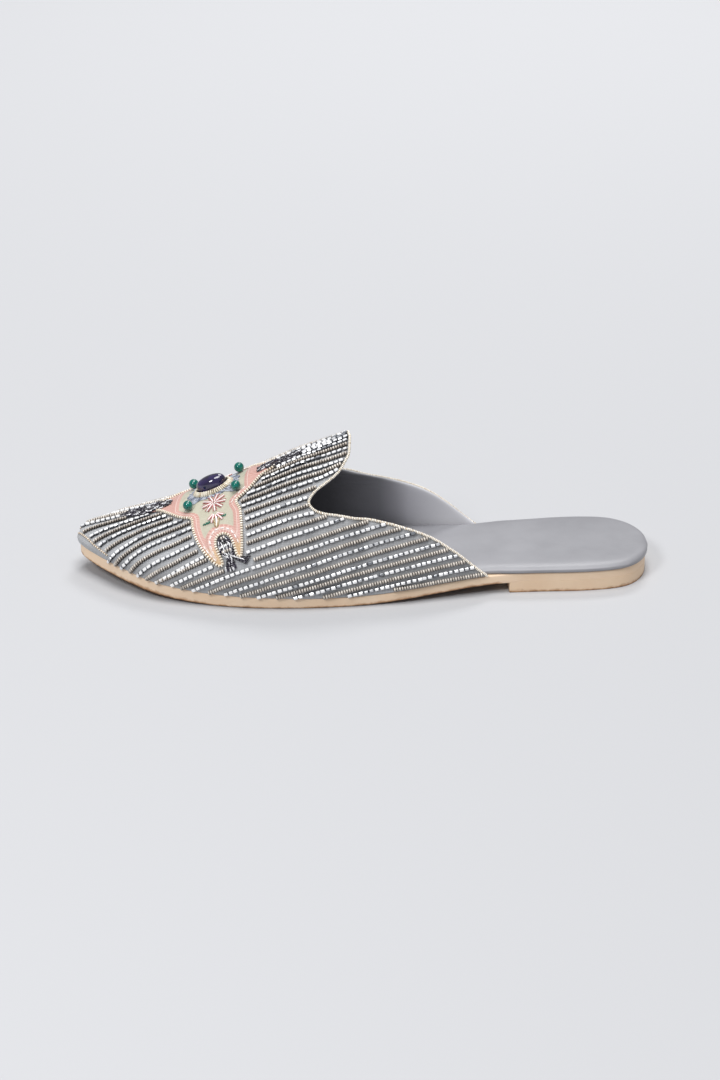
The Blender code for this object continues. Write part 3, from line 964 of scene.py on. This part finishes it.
def rowRuns(arcAt, first=rowShape["first"], until=rowShape["until"]):
    runs, current = [], []
    for station in np.arange(first, until, rowShape["step"]):
        arc = arcAt(station)
        if beadFits(station, arc):
            current.append(onVamp(station, arc))
        elif current:
            runs.append(current)
            current = []
    runs.append(current)
    return [(np.array([p for p, _ in run]), np.array([n for _, n in run])) for run in runs if len(run) > 2]


silverFrames, silverTones, ribFrames, ribTones = [], [], [], []


def laySilver(runs, side):
    for points, normals in runs:
        for point, normal, along in spaced(points, normals, beadRows["silverStep"]):
            along = along * side  # so that each bead has its foot towards the sole
            swing, tilt = dice.normal(0, beadRows["swing"]), dice.normal(0, beadRows["tilt"], 3)
            leaned = normal + tilt * 0.5
            leaned /= np.linalg.norm(leaned)
            size, slip = 1 + dice.normal(0, beadRows["sizes"]), dice.normal(0, beadRows["slip"])
            point = point + along / np.linalg.norm(along) * slip
            silverFrames.append(frameOn(point + normal * beadRows["silverLift"], leaned, along, swing, size))
            rearward = clamped((point[0] - rearDimming["from"]) / rearDimming["length"])  # darker beads towards the rear
            dull = rearDimming["toe"] + rearDimming["rear"] * rearward
            tone = dice.choice((0.42, 0.6, 1.0), p=(dull, dull, 1 - 2 * dull))
            silverTones.append(tone * (1 - rearDimming["dim"] * (dull - rearDimming["toe"])))


def layRibs(runs, side):
    for points, normals in runs:
        for point, normal, along in spaced(points, normals, beadSizes["ribStep"]):
            swing = dice.normal(0, beadRows["ribSwing"])
            ribFrames.append(frameOn(point + normal * beadRows["ribLift"], normal, along * side, swing))
            ribTones.append(dice.uniform(0.65, 1))


for number in range(rowShape["last"] + 1):
    path = rowPath(number)
    for side in (1, -1) if number else (1,):
        until = rowShape["split" if number == 1 else "until"]
        runs = rowRuns(lambda station: side * float(np.interp(station, *path)), until=until)
        (laySilver if number % 2 == 0 else layRibs)(runs, side if number else -1)
for side in (1, -1):
    laySilver(rowRuns(lambda station: side * rowShape["splitArc"], first=rowShape["split"]), side)
    # one short coil follows the sole's edge at the rear
    half = (1 - side) // 2
    edgeRuns = rowRuns(
        lambda station: side * (soleArc(station, half) - rowShape["edgeArc"]), first=rowShape["edgeFrom"]
    )
    layRibs(edgeRuns, side)
joinCopies("silverBeadRows", modelSilverBead(), silverFrames, silverTones, silverGlass, 30)
joinCopies("taupeCoilRows", modelCoilRib(), ribFrames, ribTones, bullionCoil, 60)

# topline cord of seed beads, and the short cord round the toe
topline = {"seed": 0.66, "step": 0.78, "drops": (-0.5, -1.1), "lift": 0.3, "swing": 0.1}


def collarCord(side):
    points, normals = [], []
    half = 0 if side > 0 else 1
    for station, height in collarLines[half]:
        column = int(round(columnOf(station)))
        at = float(np.interp(height, skin[half, column, :, 2], np.arange(len(shares))))
        j = min(int(at), len(shares) - 2)
        arc = skinArc[half, column, j] * (1 - at + j) + skinArc[half, column, j + 1] * (at - j)
        point, normal = onVamp(station, side * max(arc, 0.001))
        points.append(point)
        normals.append(normal)
    return np.array(points), np.array(normals)


lateral, medial = collarCord(1), collarCord(-1)
cordPoints = np.concatenate([lateral[0][::-1], medial[0][1:]])
cordNormals = np.concatenate([lateral[1][::-1], medial[1][1:]])
ahead = np.gradient(cordPoints, axis=0)
ahead /= np.linalg.norm(ahead, axis=1, keepdims=True)
offEdge = np.cross(ahead, cordNormals)
offEdge[offEdge[:, 0] < -0.3] *= -1
drops = np.where(np.arange(len(cordPoints)) < len(lateral[0]), *topline["drops"])
cordPoints = cordPoints + cordNormals * topline["lift"] + offEdge * drops[:, None]
frames, tones = [], []
for k, (point, normal, along) in enumerate(spaced(cordPoints, cordNormals, topline["step"])):
    frames.append(frameOn(point, normal, along, dice.normal(0, topline["swing"])))
    tones.append(1.0 if k % 2 else 0.75 + dice.uniform(-0.15, 0.15))
seed = modelSeedBead(topline["seed"], topline["step"])
joinCopies("toplineSeedCord", seed, frames, tones, pearlSeed, standsFor=["topline_binding"])

frames, tones = [], []
for side in (1, -1):
    marks = np.linspace(toeCord["arcs"][0][0], toeCord["arcs"][-1][0], 40)
    toeRun = [onVamp(s, side * markAt(toeCord["arcs"], s), toeCord["lift"]) for s in marks]
    points, normals = (np.array(part) for part in zip(*toeRun))
    for k, (point, normal, along) in enumerate(spaced(points, normals, toeCord["step"])):
        frames.append(frameOn(point, normal, along))
        tones.append(0.85 if k % 2 else 0.35)
seed = modelSeedBead(toeCord["seed"], toeCord["step"])
joinCopies("toeSeedCord", seed, frames, tones, pearlSeed)
print("cords done")

# satin ground of the motif: flat cloth cells inside the outline, laid on the vamp
satin = {
    "cell": 0.8,
    "columns": 84,
    "rows": 124,
    "raised": 0.3,
    "snap": 0.62,
    "archEdge": 1.3,
    "pinkFrom": 19.5,
    "warmFrom": 37,
    "warmLength": 4,
}
archBand = smoothLine(
    (
        (-6.8, 42.0),
        (-6.5, 37.4),
        (-5.2, 33.4),
        (-2.0, 30.4),
        (1.6, 30.2),
        (4.8, 32.4),
        (5.7, 36.5),
        (5.4, 41.0),
    ),
    0.6,
)
onSatin = motif["lift"] + motif["thick"]
clearSelection()
bpy.ops.mesh.primitive_grid_add(x_subdivisions=satin["columns"], y_subdivisions=satin["rows"], size=1)
satinGround = bpy.context.object
satinGround.name = satinGround.data.name = "satinMotif"
bpy.ops.transform.resize(value=(satin["cell"] * satin["columns"], satin["cell"] * satin["rows"], 1))
bpy.ops.object.transform_apply(scale=True)
bpy.ops.object.mode_set(mode="EDIT")
selectFaces(lambda face: not inside(motifOutline, face.center.x, face.center.y))
bpy.ops.mesh.delete(type="FACE")
bpy.ops.object.mode_set(mode="OBJECT")
outlineRun = runAlong(closedOutline)
cells = {"inset": [], "run": [], "warm": []}
for vert in satinGround.data.vertices:
    along, across = vert.co.x, vert.co.y
    gap, i, t = nearest(closedOutline, along, across)
    if gap < satin["snap"] * satin["cell"] or not inside(motifOutline, along, across):
        along, across = closedOutline[i] * (1 - t) + closedOutline[i + 1] * t
        gap = 0.0
    arch = nearest(archBand, along, abs(across))[0] + satin["archEdge"]
    depth = min(gap, arch, max(satin["pinkFrom"] - abs(along), 0))  # both short arms are pink to the tip
    puff = 0.0
    if depth < motif["band"]:
        puff = satin["raised"] * max(0.0, 1 - (depth / (motif["band"] / 2) - 1) ** 2)
    cells["inset"].append(depth)
    cells["run"].append(outlineRun[i] * (1 - t) + outlineRun[i + 1] * t)
    cells["warm"].append(clamped((abs(across) - satin["warmFrom"]) / satin["warmLength"]))
    point, _ = onMotif(along, across, onSatin + puff)
    vert.co = point * mm
for key, values in cells.items():
    satinGround.data.attributes.new(key, "FLOAT", "POINT").data.foreach_set("value", values)
satinGround.data.update()
if sum(face.normal.z * face.area for face in satinGround.data.polygons) < 0:
    satinGround.data.flip_normals()
applyModifier(satinGround, "SOLIDIFY", thickness=motif["thick"] * mm, offset=-1)
smoothByAngle(satinGround, 50)
satinGround.data.materials.append(satinMaterial())
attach(satinGround, "root")
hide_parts("applique")
print("satin motif done:", len(satinGround.data.polygons), "faces")


# everything sewn on the motif is laid out flat, then carried to the vamp
def sewn(along, across, lift, toAlong, toAcross, swing=0.0, size=1.0, stretch=1.0):
    point, normal = onMotif(along, across, lift)
    there, _ = onMotif(along + toAlong * 0.5, across + toAcross * 0.5, lift)
    return frameOn(point, normal, there - point, swing, size, stretch)


def sewnLine(line, step, lift, tone, jitter=0.05, underTails=True):
    frames, shades = [], []
    marks = smoothLine(line, step)
    for start, end in zip(marks, marks[1:]):
        middle, way = (start + end) / 2, end - start
        if not underTails and abs(middle[1]) < tailHalf(middle[0]) - 0.3:
            continue
        frames.append(sewn(*middle, lift, *way, swing=dice.normal(0, jitter)))
        shades.append(tone())
    return frames, shades


edgeSeeds = {"radius": 0.7, "step": 1.25, "neck": 0.35, "lift": 0.15}
seedLine = closedOutline[:-1:2].tolist() + [closedOutline[0].tolist()]
seedLift = onSatin + edgeSeeds["lift"]
frames, tones = sewnLine(
    seedLine, edgeSeeds["step"], seedLift, lambda: dice.uniform(0.6, 0.9), underTails=False
)
seed = modelSeedBead(edgeSeeds["radius"], edgeSeeds["step"], edgeSeeds["neck"])
joinCopies("motifSeedOutline", seed, frames, tones, pearlSeed)

# indigo stone: a full, high cabochon
stone = {"along": 0.5, "half": (7.2, 4.3, 4.6), "fullness": 0.62, "girdle": 1.6, "lift": 1.35}
clearSelection()
bpy.ops.mesh.primitive_uv_sphere_add(segments=48, ring_count=28, radius=1)
bpy.ops.object.mode_set(mode="EDIT")
bpy.ops.mesh.select_all(action="SELECT")
bpy.ops.mesh.bisect(plane_co=(0, 0, 0.001), plane_no=(0, 0, 1), use_fill=True, clear_inner=True)
bpy.ops.object.mode_set(mode="OBJECT")
bpy.ops.object.mode_set(mode="EDIT")
selectFaces(lambda face: face.normal.z < -0.9)
bpy.ops.mesh.extrude_region_move(TRANSFORM_OT_translate={"value": (0, 0, -1)})
stoneShape, stoneFaces, stoneShade = takeShape()
onDome = stoneShape[:, 2] > -0.5
stoneShape[:, 2] = np.maximum(stoneShape[:, 2], 0) ** stone["fullness"]
stoneShape *= stone["half"]
stoneShape[onDome, 2] += stone["girdle"]
stoneModel = stoneShape, stoneFaces, stoneShade
frames = [sewn(stone["along"], 0, stone["lift"], 1, 0)]
joinCopies("indigoCabochon", stoneModel, frames, [0.5], indigoGlass, 70, ["cabochon"])

# collar of radial bugles round the stone
ring = {
    "half": (8.9, 6.2),
    "count": 58,
    "length": 2.5,
    "radius": 0.44,
    "slant": math.radians(38),
    "lift": 1.1,
}
ringLift = onSatin + ring["lift"]
frames, tones = [], []
for k in range(ring["count"]):
    angle = 2 * math.pi * k / ring["count"]
    along, across = stone["along"] + ring["half"][0] * math.cos(angle), ring["half"][1] * math.sin(angle)
    point, normal = onMotif(along, across, ringLift)
    inner = stone["along"] + 0.5 * ring["half"][0] * math.cos(angle)
    outward = point - onMotif(inner, across * 0.4, ringLift)[0]
    outward /= np.linalg.norm(outward)
    leaned = normal * math.cos(ring["slant"]) + outward * math.sin(ring["slant"])
    frames.append(frameOn(point, leaned, outward, dice.normal(0, 0.05)))
    tones.append(0.3 if k % 7 == 0 else 0.68 + dice.uniform(-0.25, 0.12))
bugle = modelBugle(ring["length"], ring["radius"])
joinCopies("bugleStoneRing", bugle, frames, tones, creamGlass, standsFor=["cabochon_ring"])


# green beads: drilled and polished
def modelGreenBead():
    clearSelection()
    bpy.ops.mesh.primitive_uv_sphere_add(segments=28, ring_count=18, radius=1, rotation=sideways)
    bpy.ops.object.transform_apply(rotation=True)
    bpy.ops.object.mode_set(mode="EDIT")
    selectFaces(lambda face: abs(face.center.x) > 0.97)
    bpy.ops.mesh.extrude_region_move()
    bpy.ops.transform.resize(value=(0.82, 0.8, 0.8))
    return takeShape()


frames = []
greenNames = [f"green_bead_{i}" for i in range(1, 5)]
for name in greenNames:
    low, high = (np.array(corner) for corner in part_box(name))
    heart = (low + high) / 2 / mm
    width = min(high - low) / 2 / mm
    frames.append(np.stack([(0, width, 0), (-width, 0, 0), (0, 0, width), heart], axis=1))
tones = [0.5] * len(frames)
greenBead = modelGreenBead()
joinCopies("greenAgateBeads", greenBead, frames, tones, greenAgate, 60, greenNames)
print("stone, ring and green beads done")

# slate blue floss: a field round the ring with a point towards each green bead
slate = {
    "length": 2.6,
    "width": 0.7,
    "step": 0.95,
    "field": (17, 13),
    "ringEdge": 1.12,
    "reach": 1.42,
    "point": 17.5,
    "pointAngle": math.radians(42),
    "pointWidth": 0.42,
    "lift": 0.22,
}
frames, tones = [], []
for along in np.arange(-slate["field"][0], slate["field"][0], slate["step"]):
    for across in np.arange(-slate["field"][1], slate["field"][1] + 0.1, slate["step"] * 0.8):
        a, c = along + dice.uniform(-0.3, 0.3), across + dice.uniform(-0.25, 0.25)
        out = math.hypot((a - stone["along"]) / ring["half"][0], c / ring["half"][1])
        angle = math.atan2(abs(c), abs(a - stone["along"]))
        lobe = slate["point"] * max(0.0, 1 - abs(angle - slate["pointAngle"]) / slate["pointWidth"])
        if out < slate["ringEdge"] or (out > slate["reach"] and math.hypot(a, c) > lobe):
            continue
        way = math.copysign(1, a), math.copysign(0.8, c)
        frames.append(sewn(a, c, onSatin + slate["lift"], *way, swing=dice.normal(0, 0.25)))
        tones.append(dice.uniform(0, 1))
stitch = modelStitch(slate["length"], slate["width"])
joinCopies("slateFlossField", stitch, frames, tones, slateSilk)

# coral flowers on the two long petals: each petal is a pale bugle between two thin dark ones
flower = {
    "along": 1.0,
    "across": 13.8,
    "petals": 9,
    "middle": 3.7,
    "length": 4.6,
    "radius": 0.4,
    "lift": 0.35,
}
# turn, reach, tone and size of each bugle in a petal
petalBugles = ((-0.2, 1.0, 0.1, 0.5), (0.0, 0.95, 1.0, 1.1), (0.2, 1.0, 0.25, 0.5))
# bud: pale petals fanned out from the flower's foot (direction, reach), each of three bugles
bud = {
    "foot": (0.6, 20.6),
    "spread": (3.7, 3.4),
    "petals": ((-0.95, 0.75, 0.8), (-0.5, 1.0, 1.0), (0.0, 1.0, 1.15), (0.5, 1.0, 1.0), (0.95, 0.7, 0.8)),
    "bugles": ((-0.35, 0.3, 0.6), (0.35, 0.2, 0.6), (0.0, 0.95, 1.05)),
    "length": 4.8,
    "radius": 0.5,
    "lift": 0.4,
}
# gold drop below the bud (place, slant, tone), and two leaves from end to end
goldDrop = (
    (-0.75, 26.2, -0.05, 0.1),
    (1.0, 26.5, -0.4, 0.15),
    (0.2, 26.2, -0.22, 1.0),
    (-0.3, 28.3, -0.2, 0.2),
)
leaf = {"length": 1.9, "width": 0.62, "stitches": 9, "lift": 0.3}
leafLines = (((-5.7, 25.3), (-0.85, 24.9)), ((0.0, 24.4), (4.95, 23.85)))
heart = {"beads": 6, "reach": 0.85, "radius": 0.5, "step": 0.7, "lift": 0.4}
coralFrames, coralTones, creamFrames, creamTones, leafFrames, leafTones = [], [], [], [], [], []
petalLift = onSatin + flower["lift"]
for side in (1, -1):
    for k in range(flower["petals"]):
        angle = 2 * math.pi * k / flower["petals"] + 0.2
        for turn, reach, tone, size in petalBugles:
            a = flower["along"] + flower["middle"] * reach * math.cos(angle + turn)
            c = side * (flower["across"] + flower["middle"] * reach * math.sin(angle + turn))
            way = math.cos(angle + turn * 0.3), side * math.sin(angle + turn * 0.3)
            stretch = dice.uniform(0.92, 1.05) / size
            coralFrames.append(sewn(a, c, petalLift, *way, size=size, stretch=stretch))
            coralTones.append(tone + dice.uniform(-0.1, 0.05))
    for toA, toC, reach in bud["petals"]:
        length = math.hypot(toA, toC)
        for turn, tone, size in bud["bugles"]:
            a = bud["foot"][0] + bud["spread"][0] * reach * toA / length + turn * toC
            c = side * (bud["foot"][1] + bud["spread"][1] * reach * toC / length - turn * toA)
            coralFrames.append(sewn(a, c, petalLift, toA, side * toC, size=size, stretch=reach / size))
            coralTones.append(tone)
    for a, c, toA, tone in goldDrop:
        stretch = 0.4 if c > 28 else 1  # the last one is a short tip
        creamFrames.append(sewn(a, side * c, onSatin + bud["lift"], toA, side, stretch=stretch))
        creamTones.append(tone)
    for start, end in leafLines:
        for k in range(leaf["stitches"]):
            part = k / (leaf["stitches"] - 1)
            a, c = np.array(start) * (1 - part) + np.array(end) * part
            toC = side * (0.8 if k % 2 else -0.7)
            stretch = 0.7 + 0.5 * math.sin(math.pi * part)
            leafFrames.append(sewn(a, side * c, onSatin + leaf["lift"], 0.9, toC, stretch=stretch))
            leafTones.append(dice.uniform(0, 1))
bugle = modelBugle(flower["length"], flower["radius"])
joinCopies("coralBugleFlowers", bugle, coralFrames, coralTones, coralGlass)
bugle = modelBugle(bud["length"], bud["radius"])
joinCopies("creamBuds", bugle, creamFrames, creamTones, creamGlass)
stitch = modelStitch(leaf["length"], leaf["width"])
joinCopies("leafStitches", stitch, leafFrames, leafTones, leafSilk)
frames, tones = [], []
for side in (1, -1):
    for k in range(heart["beads"]):
        angle = 2 * math.pi * k / heart["beads"]
        a = flower["along"] + heart["reach"] * math.cos(angle)
        c = side * (flower["across"] + heart["reach"] * math.sin(angle))
        frames.append(sewn(a, c, onSatin + heart["lift"], 1, 0))
        tones.append(dice.uniform(0.6, 1))
seed = modelSeedBead(heart["radius"], heart["step"])
joinCopies("flowerHearts", seed, frames, tones, coralGlass)

# jet and silver paisley in the arch of each long petal, and tails along the crest
paisley = {"length": 2.2, "radius": 0.36, "step": 1.4, "body": 10, "tassel": 9, "lift": 0.75}
tails = {-1: (300, 21), 1: (210, 23)}  # bugles towards the toe and the throat, and where each tail starts
tailEnd, satinEnd = 46, 32
frames, tones = [], []
for side in (1, -1):
    strands = []
    for belly in np.linspace(-1, 1, paisley["body"]):  # drop-shaped body, drawn in to a waist
        wide = 3.6 * belly - 0.4
        head = -0.2 + 2.0 * belly, 34.2 + 1.4 * abs(belly)
        strands.append((head, (wide, 38.6), (0.85 * wide - 0.4, 42), (0.9 * belly - 1.2, 45.4)))
    for fan in np.linspace(0, 1, paisley["tassel"]):  # two tassels below the waist
        tip = 4.6 * fan - 6.2, 50.4 + 0.8 * math.sin(math.pi * fan)
        strands.append(((1.2 * fan - 1.6, 44.6), (3.2 * fan - 4.2, 47.8), tip))
        tip = 2.8 + 3.4 * fan, 50.2 - 2.6 * fan
        strands.append(((fan - 0.6, 44.6), (1.0 + 2.4 * fan, 47.4 - 0.6 * fan), tip))
    for strand in strands:
        line = [(a, side * c) for a, c in strand]
        lift = paisley["lift"] + dice.uniform(0, 0.4)
        more, shades = sewnLine(line, paisley["step"], lift, lambda: dice.choice((0.0, 0.15, 0.3, 1.0)), 0.2)
        frames += more
        tones += shades
for way, (count, start) in tails.items():
    for _ in range(count):
        a = way * dice.uniform(start, tailEnd)
        half = tailHalf(a)
        c = dice.uniform(-half, half)
        lift = (onSatin + 0.3 if abs(a) < satinEnd else paisley["lift"]) + dice.uniform(0, 0.35)
        slant = dice.normal(0, 0.5)
        frames.append(sewn(a, c, lift, 1, slant, stretch=dice.uniform(0.8, 1.15)))
        tones.append(dice.choice((0.0, 0.05, 0.1, 0.2, 0.3, 1.0)))
bugle = modelBugle(paisley["length"], paisley["radius"])
joinCopies("jetPaisleyAndTails", bugle, frames, tones, jetGlass)

# white dashes along the arch and the petal's border
dash = {"length": 2.2, "width": 0.55, "step": 2.6, "lift": 0.42}
dashLines = (
    archBand[::3],
    ((-9.4, 36.0), (-8.6, 41.0), (-7.4, 45.0)),
    ((8.8, 18.5), (12.5, 14.0), (17.0, 10.8)),
)
frames, tones = [], []
for side in (1, -1):
    for points in dashLines:
        line = [(a, side * c) for a, c in points]
        more, shades = sewnLine(line, dash["step"], onSatin + dash["lift"], lambda: dice.uniform(0, 1))
        frames += more
        tones += shades
stitch = modelStitch(dash["length"], dash["width"])
joinCopies("whiteDashes", stitch, frames, tones, whiteSilk)
print("embroidery done")

# studio: pale floor, soft light, camera at the photograph's angle
studio = {
    "floor": "#bebfc2",
    "elevation": 24.0,
    "distance": 1.4,
    "lens": 101.17,
    "aim": (0.0, 0.0, 30.0),
    "slide": (-1.15, -12.9),
}
clearSelection()
bpy.ops.mesh.primitive_plane_add(size=8)
floor = bpy.context.object
floor.name = "studioFloor"
floorPaper, _, _ = newMaterial("studio paper", {"Base Color": srgb(studio["floor"]), "Roughness": 0.9})
floor.data.materials.append(floorPaper)
world = bpy.data.worlds.new("studio")
bpy.context.scene.world = world
world.use_nodes = True
background = world.node_tree.nodes["Background"]
setSockets(world.node_tree, background, {"Color": srgb("#f4f4f6"), "Strength": 0.32})


def turnTo(way):
    return Vector(way).to_track_quat("-Z", "Y").to_euler()


def addSoftbox(name, place, aim, size, watts):
    light = bpy.data.lights.new(name, "AREA")
    light.shape = "DISK"
    light.size = size
    light.energy = watts
    box = addPiece(name, light)
    box.location = place
    box.rotation_euler = turnTo(Vector(aim) - Vector(place))


addSoftbox("frontSoftbox", (-0.7, -1.0, 1.1), (0, 0, 0), 0.42, 10)
addSoftbox("topSoftbox", (0.2, 1.2, 1.5), (0, 1.1, 0), 0.7, 13)
overhead = bpy.data.lights.new("overheadBank", "SUN")
overhead.energy = 2.12
overhead.angle = math.radians(34)
addPiece("overheadBank", overhead).rotation_euler = turnTo((-0.03, 0.1, -1))
tilt = math.radians(studio["elevation"])
lookDown = Vector((0, math.cos(tilt), -math.sin(tilt)))
upWay = Vector((0, math.sin(tilt), math.cos(tilt)))
right, up = studio["slide"]
aim = (Vector(studio["aim"]) + Vector((right, 0, 0)) + upWay * up) * mm
lens = bpy.data.cameras.new("camera")
lens.lens = studio["lens"]
lens.sensor_width = 36
camera = addPiece("camera", lens)
camera.location = aim - lookDown * studio["distance"]
camera.rotation_euler = turnTo(lookDown)
bpy.context.scene.camera = camera
bpy.context.scene.view_settings.view_transform = "Standard"
print("studio set")
